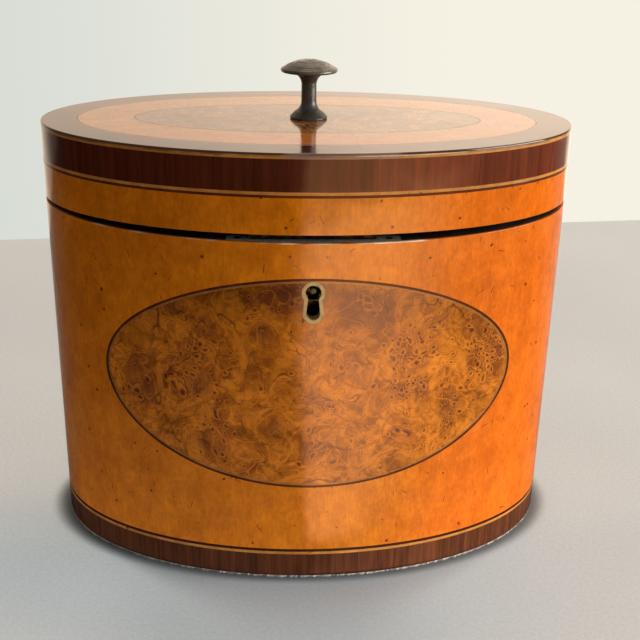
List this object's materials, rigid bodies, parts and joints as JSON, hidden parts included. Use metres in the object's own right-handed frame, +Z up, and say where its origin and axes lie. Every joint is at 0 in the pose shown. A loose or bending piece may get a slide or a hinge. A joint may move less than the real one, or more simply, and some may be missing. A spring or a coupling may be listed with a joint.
{
  "type": "tea caddy",
  "caption": "Oval veneered tea caddy with a hinged lid, turned knob, keyhole escutcheon, link-plate lock and a loose lid over the foil-lined tea compartment.",
  "frame": {"origin": "middle of the baize foot, on the surface the caddy stands on", "axes": "+X to the right along the oval's long axis, +Y from the keyhole to the hinge, +Z up"},
  "size_m": [0.15, 0.0925, 0.1403],
  "materials": {
    "pine": "bare, aged",
    "baize": "worn green-grey baize",
    "ebonised_wood": "black stained and polished",
    "tin_foil": "dull grey tea-caddy foil",
    "mahogany": "thin polish",
    "satinwood": "gloss shellac",
    "crossband_wood": "gloss shellac",
    "boxwood": "gloss shellac",
    "ebony": "gloss shellac",
    "burr_wood": "gloss shellac",
    "lining_paper": "faded paper",
    "old_brass": "tarnished",
    "dark_bronze": "dark patina, worn",
    "iron": "dark, oiled"
  },
  "bodies": {
    "caddy_body": {"carcase_wall": "pine", "base_board": "pine", "base_baize": "baize", "rim_facing": "ebonised_wood", "inner_ledge": "mahogany", "foil_lining_floor": "tin_foil", "foil_lining_wall": "tin_foil", "base_crossband": "crossband_wood", "base_string_box": "boxwood", "base_string_ebony": "ebony", "body_veneer": "satinwood", "oval_panel": "burr_wood", "oval_string_ebony": "ebony", "oval_string_box": "boxwood", "escutcheon": "old_brass", "lock_case": "old_brass", "lock_cap": "old_brass", "lock_selvedge": "old_brass", "lock_drill_pin": "iron", "lock_screws": "iron", "hinge_leaf_body": "old_brass", "hinge_pin": "iron", "hinge_screws_body": "iron"},
    "lid": {"lid_wall": "pine", "lid_rim_facing": "ebonised_wood", "lid_top_board": "pine", "lid_lining": "lining_paper", "lid_side_veneer": "satinwood", "lid_side_string_ebony": "ebony", "lid_side_string_box": "boxwood", "lid_side_crossband": "crossband_wood", "lid_edge_string": "boxwood", "lid_top_crossband": "crossband_wood", "lid_top_string_box": "boxwood", "lid_top_string_ebony": "ebony", "lid_top_satinwood": "satinwood", "lid_burr_string_ebony": "ebony", "lid_burr_string_box": "boxwood", "lid_burr_oval": "burr_wood", "lid_knob": "dark_bronze", "knob_washer": "dark_bronze", "knob_nut": "dark_bronze", "hinge_leaf_lid": "old_brass", "hinge_screws_lid": "iron", "link_plate": "old_brass", "link_plate_screws": "iron"},
    "inner_lid": {"inner_lid_board": "mahogany", "inner_lid_veneer": "satinwood", "inner_lid_foil": "tin_foil", "inner_lid_knob": "ebony"},
    "bolt": {"lock_bolt": "old_brass", "lock_spring": "iron"}
  },
  "joints": [
    {"name": "lid_hinge", "type": "hinge", "parent": "caddy_body", "child": "lid", "pos_m": [0, 0.044, 0.10175], "axis": [-1, 0, 0], "range_deg": [0, 98]},
    {"name": "inner_lid_lift", "type": "slide", "parent": "caddy_body", "child": "inner_lid", "axis": [0, 0, 1], "range_m": [0, 0.06]},
    {"name": "lock_bolt_slide", "type": "slide", "parent": "caddy_body", "child": "bolt", "axis": [1, 0, 0], "range_m": [0, 0.0032]}
  ],
  "couplings": [
    {"joint": "inner_lid_lift", "follows": "lid_hinge", "m_per_rad": 0.035}
  ]
}
